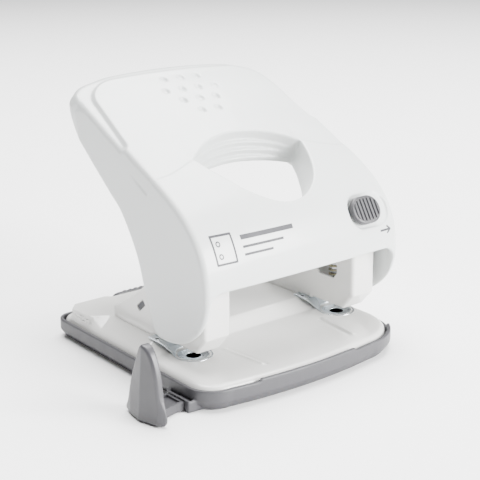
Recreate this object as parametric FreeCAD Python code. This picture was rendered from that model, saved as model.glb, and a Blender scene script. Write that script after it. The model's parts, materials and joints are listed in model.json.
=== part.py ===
"""Two-hole desk punch: a chip tray, a pressed-steel base, two punch heads and a palm lever.

Frame: millimetres, +Z up. x = 0 midway between the punch pins, y = 0 on the pin axes, z = 0 on the
desk. The throat opens towards -Y, the palm end of the handle points to +Y, and the paper guide is at -X.
Each sub-part is written to parts/NODE.step.
"""
import FreeCAD
import Part

import math
import os

V = FreeCAD.Vector
ORIGIN = V(0, 0, 0)
X_AXIS = V(1, 0, 0)
Z_AXIS = V(0, 0, 1)

# ---- driving dimensions, mm -------------------------------------------------------------------
HOLE_SPACING = 80.0            # two-hole filing standard, centre to centre
PIN_R = 3.0                    # 6 mm holes
PIN_FIT = 0.05                 # radial clearance of a pin in its guide and die
STROKE = 6.0
PRESS_ANGLE = 27.0             # handle travel, degrees
PAPER_HALF_LENGTH = 148.5      # the guide's far stop centres a 297 mm sheet edge

TRAY_LEFT = -60.3              # reaches further out on the guide's side
TRAY_RIGHT = 52.3
TRAY_FRONT = -38.6             # bowed: the middle stands proud of the corners
TRAY_FRONT_LEFT = -34.8
TRAY_FRONT_RIGHT = -36.6
TRAY_REAR = 76.2
TRAY_R_LEFT = 13.0
TRAY_R_RIGHT = 26.0
TRAY_R_REAR = 7.0
TRAY_TOP = 8.8
TRAY_WALL = 1.6
TRAY_FLOOR = 1.4
TRAY_FACET = 2.8               # how far the lower facet of the rim tapers in
TRAY_FACET_Z = 3.8
LEDGE_Z = 5.5
RIM_END_Y = -24.7              # the rim's right side is lower behind this
RIM_LOW_Z = 6.6

PLATE_GAP = 1.0                # between rim and base plate
PLATE_T = 1.2
PLATE_TOP = 9.6
PLATEAU_TOP = 13.6
PLATE_BOTTOM = 5.8
RIDGE_R = 1.4
RIDGE_TOP = 10.1

HEAD_X = HOLE_SPACING / 2
BRACKET_HALF_W = 6.65
SHEET = 1.2
BRACKET_FRONT = -16.25
BRACKET_BOTTOM = 14.4
WALL_TOP = 52.0
CATCH_Y = (-14.3, -13.3)       # lock catch across the right channel
CATCH_TOP = 56.2
DIE_T = 1.0
DIE_TOP = 9.8
TONGUE_TOP = BRACKET_BOTTOM

PIVOT_Y = -12.7                # handle axle
PIVOT_Z = 46.0
AXLE_R = 2.0
PRESS_ARM = STROKE / 2 / math.sin(math.radians(PRESS_ANGLE / 2))
PRESS_Y = PIVOT_Y + PRESS_ARM * math.cos(math.radians(PRESS_ANGLE / 2))
PRESS_Z = PIVOT_Z + STROKE / 2
ROLLER_R = 2.0

GUIDE_TOP = 23.5               # top of the pin's guide block, where its spring stands
COLLAR_Z = 41.0
PIN_TIP = 14.5
PIN_TOP = PRESS_Z - ROLLER_R - 0.3
SPRING_R = 3.5
SPRING_WIRE_R = 0.4
SPRING_TURNS = 8.5

COVER_HALF_W = 52.0
COVER_T = 2.5
COVER_EDGE_R = 2.5
COVER_CORNER_R = 11.0          # rear corners in plan
FRONT_LIP_Z = 43.3             # lower edge of the cover's front face

# Flank outline of the cover in (y, z): front and top edge, rear nose, then the underside and lower lobe.
TOP_EDGE = [(-24.6, 43.5), (-23.9, 49.5), (-22.0, 56.0), (-17.6, 63.6), (-10.5, 70.9), (-0.5, 77.5),
            (10.0, 82.9), (23.5, 89.4), (37.5, 96.2), (46.8, 100.9), (56.0, 105.4)]
CROWN = [1.0, 1.3, 1.8, 2.3, 2.7, 3.0, 3.0, 3.0, 2.9, 2.9, 3.1]
NOSE = [(63.4, 108.6), (69.2, 110.8), (73.2, 109.9), (75.3, 106.8), (75.3, 103.0), (73.4, 98.7), (69.8, 94.8)]
NOSE_CROWN = [3.3, 3.6, 3.3, 2.2, 1.2, 0.6, 0.3]
UNDERSIDE = [(63.5, 89.2), (51.5, 79.2), (40.0, 70.0), (33.0, 64.4), (26.0, 54.8), (21.3, 46.0),
             (18.0, 36.1), (15.2, 29.0), (12.9, 22.8), (11.0, 18.9), (7.4, 16.9)]
SKIN_POINTS = len(TOP_EDGE) + len(NOSE)    # the outline's points over the top panel and round the nose
LOBE = [(0.0, 17.1), (-6.0, 18.4), (-12.0, 21.2), (-17.6, 25.6), (-21.8, 31.0), (-24.2, 37.4)]

HOLE_Y = 5.0                   # finger hole: centre on the top panel and slope of its plane
HOLE_Z = 80.0
HOLE_SLOPE = 29.2
HOLE_TIP = (28.5, 9.7)
HOLE_TOP = 21.8
HOLE_LOWER = [(25.2, 0.6), (18.6, -11.4), (9.6, -19.4)]
HOLE_BOTTOM = -22.0
TERRACES = 4
TERRACE_DEPTH = 2.9
TERRACE_STEP = 1.75
HOLE_SKIRT = 1.8

LEVER_TOP = [(-3.0, 57.4), (52.0, 96.6)]   # top flange of the levers in (y, z)
(LEVER_Y0, LEVER_Z0), (LEVER_Y1, LEVER_Z1) = LEVER_TOP
PALM_SLOPE = math.degrees(math.atan2(LEVER_Z1 - LEVER_Z0, LEVER_Y1 - LEVER_Y0))
PALM_Y = 44.0
PALM_Z = LEVER_Z0 + (PALM_Y - LEVER_Y0) * math.tan(math.radians(PALM_SLOPE))
PALM_PLATE_T = 1.5
SCREW_SPOTS = [(x, v) for x in (-26, 26) for v in (-4.5, 4.5)]

LOCK_X = 34.7
LOCK_Y = -20.6
LOCK_Z = 61.0
LOCK_SLOPE = 59.3
LOCK_TRAVEL = 5.0
KNOB_W = 15.6
KNOB_H = 12.0
BOLT_DEPTH = 3.6               # the bolt lies this far under the cover's surface

FIN_INNER_X = -75.5
GUIDE_TRAVEL = PAPER_HALF_LENGTH + FIN_INNER_X
RAIL_Y = (-24.0, -18.0)
RAIL_Z = (1.7, 3.9)
RAIL_END = 26.0
RAIL_NOTCHES = (-40.0, -24.0, -8.0, 8.0)   # paper sizes the guide centres
HOUSING_X = -62.6
RUN_GAP = 0.3                  # between bodies that slide past each other


# ---- helpers ----------------------------------------------------------------------------------
def box(x, y, z):
    return Part.makeBox(x[1] - x[0], y[1] - y[0], z[1] - z[0], V(x[0], y[0], z[0]))


def rod(start, direction, radius, length):
    return Part.makeCylinder(radius, length, start, direction)


def polygon_solid(points, travel):
    """Closed polygon of vectors, swept along the vector travel."""
    face = Part.Face(Part.makePolygon(points + points[:1]))
    return face.extrude(travel)


def side_plate(points, x0, x1):
    """Outline in (y, z), from x0 to x1."""
    return polygon_solid([V(x0, y, z) for y, z in points], V(x1 - x0, 0, 0))


def plan_plate(points, z0, z1):
    """Outline in (x, y), from z0 to z1."""
    return polygon_solid([V(x, y, z0) for x, y in points], V(0, 0, z1 - z0))


def mirrored(shape):
    return shape.mirror(ORIGIN, X_AXIS)


def fused(shapes):
    return shapes[0].multiFuse(shapes[1:]).removeSplitter()


def turned(shape, slope, y, z, x=0.0):
    """Carries a shape from a local frame (X across, Y up the slope, Z outwards) onto the handle."""
    moved = shape.copy()
    tilt = FreeCAD.Placement(V(x, y, z), FreeCAD.Rotation(X_AXIS, slope))
    moved.Placement = tilt.multiply(moved.Placement)
    return moved


def oval(width, height, z0, z1, cx=0.0):
    """Rounded-end plate, width along X and height along Y, in a local frame."""
    r = height / 2
    run = width / 2 - r
    body = box((cx - run, cx + run), (-r, r), (z0, z1))
    ends = [rod(V(cx + s * run, 0, z0), Z_AXIS, r, z1 - z0) for s in (-1, 1)]
    return fused([body] + ends)


# ---- tray -------------------------------------------------------------------------------------
def corner(cx, cy, r, start, z):
    """Quarter arc of a plan outline, from the start angle to 90 degrees further round."""
    on = [V(cx + r * math.cos(math.radians(start + d)), cy + r * math.sin(math.radians(start + d)), z)
          for d in (0, 45, 90)]
    return Part.Arc(*on).toShape()


def tray_outline(inset, z):
    """The tray's plan outline, drawn in by inset: bowed front, straight sides, rounded corners."""
    left, right, rear = TRAY_LEFT + inset, TRAY_RIGHT - inset, TRAY_REAR - inset
    front_l, front_r = TRAY_FRONT_LEFT + inset, TRAY_FRONT_RIGHT + inset
    rl, rr, q = TRAY_R_LEFT - inset, TRAY_R_RIGHT - inset, TRAY_R_REAR - inset
    bow = V((left + rl + right - rr) / 2, TRAY_FRONT + inset, z)
    return Part.Wire([
        Part.Arc(V(left + rl, front_l, z), bow, V(right - rr, front_r, z)).toShape(),
        corner(right - rr, front_r + rr, rr, -90, z),
        Part.LineSegment(V(right, front_r + rr, z), V(right, rear - q, z)).toShape(),
        corner(right - q, rear - q, q, 0, z),
        Part.LineSegment(V(right - q, rear, z), V(left + q, rear, z)).toShape(),
        corner(left + q, rear - q, q, 90, z),
        Part.LineSegment(V(left, rear - q, z), V(left, front_l + rl, z)).toShape(),
        corner(left + rl, front_l + rl, rl, 180, z),
    ])


def tray_prism(inset, z0, z1):
    return Part.Face(tray_outline(inset, z0)).extrude(V(0, 0, z1 - z0))


def front_lip():
    """The rim stands a little taller over part of the front, with sloped ends."""
    z0, z1 = TRAY_TOP - 0.5, TRAY_TOP + 1.0
    ring = tray_prism(0, z0, z1).cut(tray_prism(TRAY_WALL, z0 - 1, z1 + 1))
    span = polygon_solid([V(x, -45, z) for x, z in ((-36, z0), (16, z0), (14, z1), (-34, z1))], V(0, 15, 0))
    return ring.common(span)


def guide_housing():
    """A low wall with a groove behind it, on the tray's left, that the closed paper guide docks against."""
    outline = [(HOUSING_X, -26.8), (-56, -27.6), (-56, -10.5), (-60, -10.5), (HOUSING_X, -12.5)]
    inner = HOUSING_X + 1.2
    groove = [(inner, -25.9), (-59.8, -25.9), (-60.2, -22), (-60.3, -12.6), (inner, -13.4)]
    return plan_plate(outline, 0, 4.9).cut(plan_plate(groove, 2.6, 6))


def rear_tab():
    """Finger tab that stands in the base plate's rear notch, with grip ribs across its top."""
    y0, y1 = TRAY_REAR - 5.4, TRAY_REAR - 0.8
    section = [(y0, 4), (y1, 4), (y1, 12.2), (y1 - 1.6, 12.9), (y0 + 0.8, 12.9), (y0, 12.2)]
    body = side_plate(section, -32, 32)
    chamfer = polygon_solid([V(34, y0 - 2, 9), V(34, y0 - 2, 14), V(26, y0 - 2, 14)], V(0, 8, 0))
    body = body.cut(chamfer).cut(mirrored(chamfer))
    ribs = [box((x - 0.35, x + 0.35), (y0 + 0.3, y1 - 0.2), (12.4, 13.2)) for x in range(-24, 25, 3)]
    return fused([body] + ribs)


def chip_tray():
    lower = Part.makeLoft([tray_outline(TRAY_FACET, 0), tray_outline(0, TRAY_FACET_Z)], True, True)
    shell = lower.fuse(tray_prism(0, TRAY_FACET_Z, TRAY_TOP)).fuse(guide_housing())
    shell = shell.cut(tray_prism(TRAY_FACET + TRAY_WALL, TRAY_FLOOR, LEDGE_Z))
    shell = shell.cut(tray_prism(TRAY_WALL, LEDGE_Z, TRAY_TOP + 5))
    y0, y1 = RAIL_Y
    rails = [box((-57, 30), (y, y + 1), (TRAY_FLOOR - 0.5, 4.0)) for y in (y0 - 1 - RUN_GAP, y1 + RUN_GAP)]
    slot = box((-70, -54), (y0 - RUN_GAP, y1 + RUN_GAP), (TRAY_FLOOR, RAIL_Z[1] + RUN_GAP))
    low_side = box((43.3, 60), (RIM_END_Y, TRAY_REAR - TRAY_R_REAR - 2), (RIM_LOW_Z, TRAY_TOP + 5))
    return fused([shell.cut(slot).cut(low_side), front_lip(), rear_tab()] + rails)


# ---- paper guide ------------------------------------------------------------------------------
def guide_fin():
    """Upright stop: a lens in plan with a crease down its outer face, leaning to a rounded top."""
    side = [(-30.2, 0.4), (-9.8, 0.4), (-10.8, 7), (-13.4, 15.5), (-16.2, 23), (-17.8, 27.4),
            (-19.2, 29.8), (-21.2, 30.4), (-23.6, 29.2), (-25.8, 26.2), (-27.8, 21), (-29.3, 12)]
    plan = [(FIN_INNER_X, -29.4), (-76.6, -30.9), (-79.9, -28), (-81.2, -21.5), (-80.7, -15), (-79, -9.8),
            (FIN_INNER_X, -9.8)]
    base = Part.makePolygon([V(x, y, 0) for x, y in plan + plan[:1]])
    lean = [(FIN_INNER_X + (x - FIN_INNER_X) * 0.66, y) for x, y in plan]
    top = Part.makePolygon([V(x, y, 31) for x, y in lean + lean[:1]])
    return side_plate(side, -83, -74).common(Part.makeLoft([base, top], True, True))


def guide_foot():
    """Flat foot between the fin and the tray, with a bead round its recessed top."""
    edge = HOUSING_X - RUN_GAP
    outline = [(FIN_INNER_X, -25.6), (-72, -24.9), (-66, -23.7), (edge, -24), (edge, -13.5),
               (FIN_INNER_X, -11.5)]
    sunk = [(-74.3, -24.3), (-71.6, -23.7), (-66, -22.6), (edge - 0.9, -22.9), (edge - 0.9, -14.6),
            (-74.3, -12.9)]
    foot = plan_plate(outline, 0.4, 4.0)
    recess = plan_plate(sunk, 3.0, 5)
    return foot.cut(recess)


def guide_rail():
    """Flat bar in the tray's channel, notched at the paper sizes it centres."""
    bar = box((HOUSING_X - RUN_GAP, RAIL_END), RAIL_Y, RAIL_Z)
    for x in RAIL_NOTCHES:
        bar = bar.cut(box((x - 0.8, x + 0.8), (RAIL_Y[1] - 1, RAIL_Y[1] + 1), (0, 6)))
    return bar


# ---- base plate -------------------------------------------------------------------------------
def plateau(shrink, z0, z1):
    """Raised rear deck: sloping sides, a ramp that stops the paper, and rear corners cut back."""
    low = [(49.6, 7.5), (49.6, 45), (49.6, 57), (49.6, 67), (45.5, 73.4),
           (-51.5, 73.4), (-57.6, 67), (-57.6, 57), (-57.6, 45), (-57.6, 7.5)]
    high = [(47.2, 15.3), (47.2, 51), (47.6, 55), (47.9, 67.5), (44.5, 73.1),
            (-51.0, 73.1), (-56.0, 67.5), (-54.8, 54), (-47.2, 50), (-47.2, 15.3)]

    def ring(outline, z):
        drawn_in = [(x - math.copysign(shrink, x), y + (shrink if y < 20 else -shrink * (y > 60)))
                    for x, y in outline]
        return Part.makePolygon([V(x, y, z) for x, y in drawn_in + drawn_in[:1]])

    return Part.makeLoft([ring(low, z0), ring(high, z1)], True, True)


def low_deck(shrink, z0, z1):
    inset = TRAY_WALL + PLATE_GAP + shrink
    deck = tray_prism(inset, z0, z1)
    top = [e for e in deck.Edges if min(v.Z for v in e.Vertexes) > z1 - 0.01]
    return deck.makeFillet(2.6, top)


def ridge():
    """Embossed rib that stiffens the front deck beside each die."""
    start, end = V(24.9, -25.6, RIDGE_TOP - RIDGE_R), V(27.4, -4.5, RIDGE_TOP - RIDGE_R)
    body = rod(start, end - start, RIDGE_R, start.distanceToPoint(end))
    return fused([body, Part.makeSphere(RIDGE_R, start)])


def base_plate():
    skin = fused([low_deck(0, PLATE_BOTTOM, PLATE_TOP), plateau(0, PLATE_TOP - 0.7, PLATEAU_TOP), ridge(),
                  mirrored(ridge())])
    hollow = fused([low_deck(PLATE_T, PLATE_BOTTOM - 5, PLATE_TOP - PLATE_T),
                    plateau(PLATE_T, PLATE_TOP - 0.7 - PLATE_T, PLATEAU_TOP - PLATE_T)])
    plate = skin.cut(hollow)
    notch = plan_plate([(-38, 78), (-36, 71.6), (-33.4, 69.4), (33.4, 69.4), (36, 71.6), (38, 78)], 0, 20)
    plate = plate.cut(notch)
    for side in (-1, 1):
        plate = plate.cut(rod(V(side * HEAD_X, 0, 0), Z_AXIS, 5.2, 12))
        plate = plate.cut(die_blank(side))
    return plate


# ---- punch heads ------------------------------------------------------------------------------
def die_blank(side):
    """Stepped strip: ring under the pin, Z-bend up the ramp, wide tongue under the bracket."""
    t = DIE_T
    bend = [(-9, DIE_TOP), (4.6, DIE_TOP), (5.8, DIE_TOP + 0.4), (9.6, TONGUE_TOP - 0.4),
            (10.8, TONGUE_TOP), (18, TONGUE_TOP), (18, TONGUE_TOP - t), (11.2, TONGUE_TOP - t),
            (10.2, TONGUE_TOP - t - 0.3), (6.2, DIE_TOP - t + 0.3), (5.0, DIE_TOP - t), (-9, DIE_TOP - t)]
    strip = side_plate(bend, -12, 12)
    plan = fused([rod(V(0, 0, 5), Z_AXIS, 8.0, 15),
                  plan_plate([(-6.6, 0), (6.6, 0), (6.6, 7), (9.8, 11), (9.8, 18), (-9.8, 18), (-9.8, 11),
                              (-6.6, 7)], 5, 20)])
    blank = strip.common(plan)
    blank.translate(V(side * HEAD_X, 0, 0))
    return blank


def die_plate(side):
    x = side * HEAD_X
    dish = Part.makeCone(3.6, 6.6, 0.5, V(x, 0, DIE_TOP - 0.5), Z_AXIS)
    hole = rod(V(x, 0, 0), Z_AXIS, PIN_R + PIN_FIT, 20)
    blank = die_blank(side).cut(dish).cut(hole)
    for off in (-8.4, 8.4):
        blank = blank.cut(rod(V(x + off, 13.4, 5), Z_AXIS, 0.8, 15))
    return blank


def wall_outline():
    return [(-10.1, BRACKET_BOTTOM), (-16.25, 21.5), (-16.25, 41.0), (-18.2, 43.6), (-18.7, 46.0),
            (-18.2, 48.8), (-17.0, 51.0), (-15.0, WALL_TOP), (-2.0, WALL_TOP), (6.0, 49.6), (15.0, 42.4),
            (22.0, 35.8), (28.8, 30.0), (32.9, 27.3), (41.3, 22.2), (48.0, 18.2), (48.0, PLATEAU_TOP),
            (18.4, PLATEAU_TOP), (18.4, BRACKET_BOTTOM)]


def brace_section(length, thickness):
    """Tilted rectangle in (y, z) behind the lever, where the brace crosses the channel."""
    c, s = math.cos(math.radians(-41)), math.sin(math.radians(-41))
    half = [(length / 2, thickness / 2), (-length / 2, thickness / 2), (-length / 2, -thickness / 2),
            (length / 2, -thickness / 2)]
    return [(27.2 + a * c - b * s, 24.3 + a * s + b * c) for a, b in half]


def bracket(side):
    """Folded channel: two side walls joined by a sheet that runs down the front and under the pin."""
    w, t = BRACKET_HALF_W, SHEET
    walls = [side_plate(wall_outline(), -w, -w + t), side_plate(wall_outline(), w - t, w)]
    floor = BRACKET_BOTTOM + 1.1
    front = [(-16.25, 41), (-16.25, 21.5), (-10.1, BRACKET_BOTTOM), (10, BRACKET_BOTTOM), (10, floor),
             (-9.6, floor), (-16.25 + t, 22.0), (-16.25 + t, 41)]
    foot = box((-w, w), (20, 45), (PLATEAU_TOP, PLATEAU_TOP + 1.1))
    channel = fused(walls + [side_plate(front, -w, w), foot])
    channel = channel.cut(rod(V(-w - 1, PIVOT_Y, PIVOT_Z), X_AXIS, AXLE_R + 0.02, 2 * w + 2))
    channel = channel.cut(rod(V(0, 0, 10), Z_AXIS, PIN_R + 0.2, 8))
    channel = channel.cut(side_plate(brace_section(5.8, 2.7), -w - 1, w + 1))
    window = [(-4.4, 27.2), (4.7, 27.2), (6.6, 29.2), (6.6, 38), (-6.3, 38), (-6.3, 29.6)]
    channel = channel.cut(side_plate(window, -w - 1, w + 1))
    for y in (26, 40):
        channel = channel.cut(rod(V(0, y, 10), Z_AXIS, 1.6, 8))
    return channel.translated(V(side * HEAD_X, 0, 0))


def brace(side):
    return side_plate(brace_section(5.5, 2.4), side * HEAD_X - 6.3, side * HEAD_X + 6.3)


def pin_guide(side):
    """Block in the foot of the channel that the pin slides in."""
    x = side * HEAD_X
    block = box((x - 5.4, x + 5.4), (-7, 7), (BRACKET_BOTTOM + 1.1, GUIDE_TOP))
    return block.cut(rod(V(x, 0, 0), Z_AXIS, PIN_R + PIN_FIT, 30))


def foot_rivets():
    rivets = []
    for x in (-HEAD_X, HEAD_X):
        for y in (26, 40):
            shank = rod(V(x, y, PLATEAU_TOP), Z_AXIS, 1.55, 1.1)
            head = Part.makeSphere(3.2, V(x, y, PLATEAU_TOP + 1.1 - 1.9), Z_AXIS, 0, 90)
            cap = head.common(box((x - 4, x + 4), (y - 4, y + 4), (PLATEAU_TOP + 1.1, PLATEAU_TOP + 4)))
            rivets.append(shank.fuse(cap))
    return Part.makeCompound(rivets)


def die_screws():
    """Small countersunk pins that hold each die plate's tongue."""
    return Part.makeCompound([rod(V(x + off, 13.4, TONGUE_TOP - DIE_T), Z_AXIS, 0.78, DIE_T - 0.15)
                              for x in (-HEAD_X, HEAD_X) for off in (-8.4, 8.4)])


def punch_pin(side):
    """Hardened pin: domed head under the press roller, ring groove, and a hollow-ground tip."""
    x = side * HEAD_X
    pin = rod(V(x, 0, PIN_TIP), Z_AXIS, PIN_R, PIN_TOP - PIN_TIP)
    pin = pin.fuse(rod(V(x, 0, PIN_TOP - 1.2), Z_AXIS, 3.6, 1.2))
    groove = rod(V(x, 0, COLLAR_Z), Z_AXIS, 4, 1.0).cut(rod(V(x, 0, COLLAR_Z), Z_AXIS, 2.4, 1.0))
    grind = side_plate([(-4, PIN_TIP - 1), (4, PIN_TIP - 1), (0, PIN_TIP + 1.0)], x - 4, x + 4)
    return pin.cut(groove).cut(grind)


def spring_collar(side):
    x = side * HEAD_X
    return rod(V(x, 0, COLLAR_Z), Z_AXIS, 3.9, 1.0).cut(rod(V(x, 0, COLLAR_Z), Z_AXIS, 2.4, 1.0))


def return_spring(side):
    height = COLLAR_Z - GUIDE_TOP - 2 * SPRING_WIRE_R - 0.1
    helix = Part.makeHelix(height / SPRING_TURNS, height, SPRING_R)
    r, turn = SPRING_WIRE_R, math.pi / 6
    wire = [V(SPRING_R + r * math.cos(k * turn), 0, r * math.sin(k * turn)) for k in range(12)]
    profile = Part.makePolygon(wire + wire[:1])
    coil = Part.Wire(helix).makePipeShell([profile], True, True)
    return coil.translated(V(side * HEAD_X, 0, GUIDE_TOP + SPRING_WIRE_R + 0.05))


def pivot_axle():
    axle = rod(V(-48.4, PIVOT_Y, PIVOT_Z), X_AXIS, AXLE_R, 96.8)
    for x in (-47.7, 47.0):
        start = V(x, PIVOT_Y, PIVOT_Z)
        axle = axle.cut(rod(start, X_AXIS, 3, 0.7).cut(rod(start, X_AXIS, 1.5, 0.7)))
    return axle


def axle_clips():
    clips = []
    for x in (-47.65, 47.05):
        start = V(x, PIVOT_Y, PIVOT_Z)
        ring = rod(start, X_AXIS, 3.5, 0.6).cut(rod(start, X_AXIS, 1.52, 0.6))
        mouth = box((x - 1, x + 2), (PIVOT_Y - 0.9, PIVOT_Y + 0.9), (PIVOT_Z - 4, PIVOT_Z))
        clips.append(ring.cut(mouth))
    return Part.makeCompound(clips)


def lock_catch():
    """Bridge across the right channel that the lock bolt hooks behind when the handle is down."""
    x0, x1 = HEAD_X - BRACKET_HALF_W, HEAD_X + BRACKET_HALF_W
    bridge = box((x0, x1), CATCH_Y, (WALL_TOP, CATCH_TOP))
    return bridge.cut(box((x0 + SHEET, x1 - SHEET), (-15, -12), (WALL_TOP - 1, CATCH_TOP - 1.6)))


# ---- handle -----------------------------------------------------------------------------------
def lever(side):
    """Folded steel lever: two webs and a top flange from the axle to the palm, cut away below the hole."""
    x, w, t = side * HEAD_X, 5.2, 1.0
    web = [(-15.5, 41.6), (-9.6, 41.0), (-3.4, 44.8), (3.4, 45.4), (9, 50.6), (17, 62.5), (20, 67), (24, 71.6),
           (30, 73.2), (40, 76.4), (56, 88.5), (57, 93.4), (52, 96.6), (-3, 57.4), (-12.0, 51.8),
           (-17.0, 49.6), (-17.6, 45.6)]
    flange = LEVER_TOP[::-1] + [(-2.3, 56.4), (52.7, 95.6)]
    webs = [side_plate(web, x - w, x - w + t), side_plate(web, x + w - t, x + w)]
    arm = fused(webs + [side_plate(flange, x - w, x + w)])
    arm = arm.cut(rod(V(x - 6, PIVOT_Y, PIVOT_Z), X_AXIS, AXLE_R + 0.05, 12))
    return arm.cut(rod(V(x - 6, PRESS_Y, PRESS_Z), X_AXIS, ROLLER_R + 0.02, 12))


def press_roller(side):
    return rod(V(side * HEAD_X - 5.15, PRESS_Y, PRESS_Z), X_AXIS, ROLLER_R, 10.3)


def palm_plate():
    """Cross plate that joins the two levers under the palm rest."""
    plate = box((-45.2, 45.2), (-8.5, 8.5), (0, PALM_PLATE_T))
    for x, v in SCREW_SPOTS:
        plate = plate.cut(rod(V(x, v, -1), Z_AXIS, 1.3, 4))
    return turned(plate, PALM_SLOPE, PALM_Y, PALM_Z)


def cover_screws():
    screws = []
    for x, v in SCREW_SPOTS:
        shank = rod(V(x, v, 0), Z_AXIS, 1.25, 5.5)
        head = rod(V(x, v, -1.6), Z_AXIS, 2.6, 1.6)
        cross = fused([box((x - 1.5, x + 1.5), (v - 0.3, v + 0.3), (-1.7, -0.9)),
                       box((x - 0.3, x + 0.3), (v - 1.5, v + 1.5), (-1.7, -0.9))])
        screws.append(turned(shank.fuse(head).cut(cross), PALM_SLOPE, PALM_Y, PALM_Z))
    return Part.makeCompound(screws)


def unit_normals(points):
    """Outward normals of an outline that runs clockwise in (y, z) as seen from +X."""
    out = []
    for i in range(len(points)):
        (ya, za), (yb, zb) = points[i - 1], points[(i + 1) % len(points)]
        d = math.hypot(yb - ya, zb - za)
        out.append((-(zb - za) / d, (yb - ya) / d))
    return out


def cover_section(x, inset):
    """The cover's side outline at x: crowned across the top, rear corners rounded in plan."""
    outline = TOP_EDGE + NOSE + UNDERSIDE + LOBE
    crown = CROWN + NOSE_CROWN + [0.0] * (len(UNDERSIDE) + len(LOBE))
    share = 1 - (x / COVER_HALF_W) ** 2
    over = max(0.0, abs(x) - (COVER_HALF_W - COVER_CORNER_R))
    pull = COVER_CORNER_R - math.sqrt(COVER_CORNER_R ** 2 - over ** 2)
    first, last = len(TOP_EDGE) - 2, len(TOP_EDGE) + len(NOSE) + 2
    points = []
    for i, ((y, z), (ny, nz)) in enumerate(zip(outline, unit_normals(outline))):
        out = crown[i] * share - inset
        ramp = min(1.0, (i - first) / 2.0, (last - i) / 2.0) if first < i < last else 0.0
        points.append((y + ny * out - 0.87 * pull * ramp, z + nz * out - 0.49 * pull * ramp))
    return points


def smooth_edge(x, points):
    """Curve through (y, z) points at x, with even parameters, so that neighbouring sections match."""
    curve = Part.BSplineCurve()
    steps = [float(i) for i in range(len(points))]
    curve.interpolate(Points=[V(x, y, z) for y, z in points], Parameters=steps)
    return curve.toShape()


def straight_edges(x, points):
    return [Part.makeLine(V(x, *a), V(x, *b)) for a, b in zip(points, points[1:])]


def cover_envelope():
    """Outer form, with its side edges rounded by drawing in the outermost sections."""
    r = COVER_EDGE_R
    rounding = [(COVER_HALF_W - r * (1 - math.sin(a)), r * (1 - math.cos(a)))
                for a in (math.radians(d) for d in (0, 30, 60, 90))]
    right = [(x, 0.0) for x in (16, 30, 41, 46)] + rounding
    wires = []
    for x, inset in [(-x, inset) for x, inset in reversed(right)] + [(0.0, 0.0)] + right:
        outline = cover_section(x, inset)
        over, under = outline[:SKIN_POINTS], outline[SKIN_POINTS - 1:] + outline[:1]
        wires.append(Part.Wire([smooth_edge(x, over), smooth_edge(x, under)]))
    return Part.makeLoft(wires, True, True)


def cover_cavity():
    """Hollow under the top panel, open below and behind the flanks."""
    edge = COVER_HALF_W - COVER_T
    wires = []
    for x in (-edge, -46, -41, -30, -16, 0, 16, 30, 41, 46, edge):
        inner = cover_section(x, COVER_T)[:SKIN_POINTS - 1]
        rest = [inner[-1], (64.0, 86.0), (40.0, 60.0), (40.0, -5.0), (inner[0][0], -5.0), inner[0]]
        wires.append(Part.Wire([smooth_edge(x, inner)] + straight_edges(x, rest)))
    return Part.makeLoft(wires, True, True)


def front_opening():
    """Clears the front below the cover's lip, leaving rounded corners at the flanks."""
    w, r = COVER_HALF_W - COVER_T, 5.0
    arc = [(w - r + r * math.cos(a), FRONT_LIP_Z - r + r * math.sin(a))
           for a in (math.radians(d) for d in (0, 22.5, 45, 67.5, 90))]
    half = [(w, 0.0)] + arc
    outline = half + [(-x, z) for x, z in reversed(half)]
    return polygon_solid([V(x, -40, z) for x, z in outline], V(0, 60, 0))


def hole_face(grow=0.0):
    """Finger-hole outline in its own plane: an arc above, a smooth scoop below."""
    tip_x, tip_v = HOLE_TIP[0] + grow, HOLE_TIP[1]
    lower = [(x + grow, v - grow * 0.5) for x, v in HOLE_LOWER] + [(0.0, HOLE_BOTTOM - grow)]
    right = [V(tip_x, tip_v, 0)] + [V(x, v, 0) for x, v in lower]
    left = [V(-p.x, p.y, 0) for p in reversed(right[:-1])]
    curve = Part.BSplineCurve()
    curve.interpolate(right + left)
    upper = Part.Arc(V(-tip_x, tip_v, 0), V(0, HOLE_TOP + grow, 0), V(tip_x, tip_v, 0))
    return Part.Face(Part.Wire([curve.toShape(), upper.toShape()]))


def hole_skirt():
    depth = TERRACES * TERRACE_DEPTH
    solid = hole_face(HOLE_SKIRT).extrude(V(0, 0, depth + 8))
    solid.translate(V(0, 0, -depth))
    return turned(solid, HOLE_SLOPE, HOLE_Y, HOLE_Z)


def hole_cutters():
    """Slabs that stack down through the cover, each with its upper edge a step further in."""
    rise = HOLE_TOP - HOLE_TIP[1]
    radius = (HOLE_TIP[0] ** 2 + rise ** 2) / (2 * rise)
    slabs = []
    for k in range(TERRACES):
        high = -TERRACE_DEPTH * k if k else 12.0
        low = -TERRACE_DEPTH * (k + 1) if k < TERRACES - 1 else -40.0
        slab = hole_face().extrude(V(0, 0, high - low))
        slab.translate(V(0, 0, low))
        if k:
            edge = V(0, HOLE_TOP - TERRACE_STEP * k - radius, low)
            slab = slab.common(rod(edge, Z_AXIS, radius, high - low))
        slabs.append(turned(slab, HOLE_SLOPE, HOLE_Y, HOLE_Z))
    return slabs


def cover_bosses():
    """Screw posts that stand on the palm plate."""
    return [turned(rod(V(x, v, PALM_PLATE_T), Z_AXIS, 3.0, 9.0), PALM_SLOPE, PALM_Y, PALM_Z)
            for x, v in SCREW_SPOTS]


def cover_ribs():
    """Stiffening ribs across the inside of the palm end, behind the finger hole."""
    return [side_plate([(30, 78), (64, 96), (64, 120), (30, 110)], x - 0.8, x + 0.8) for x in (-14, 0, 14)]


def lock_window():
    recess = oval(23.0, 14.4, -1.2, 6.0, cx=LOCK_TRAVEL / 2)
    slot = oval(LOCK_TRAVEL + 9.0, 5.4, -8.0, 2.0, cx=LOCK_TRAVEL / 2)
    return [turned(s, LOCK_SLOPE, LOCK_Y, LOCK_Z, LOCK_X) for s in (recess, slot)]


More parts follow.
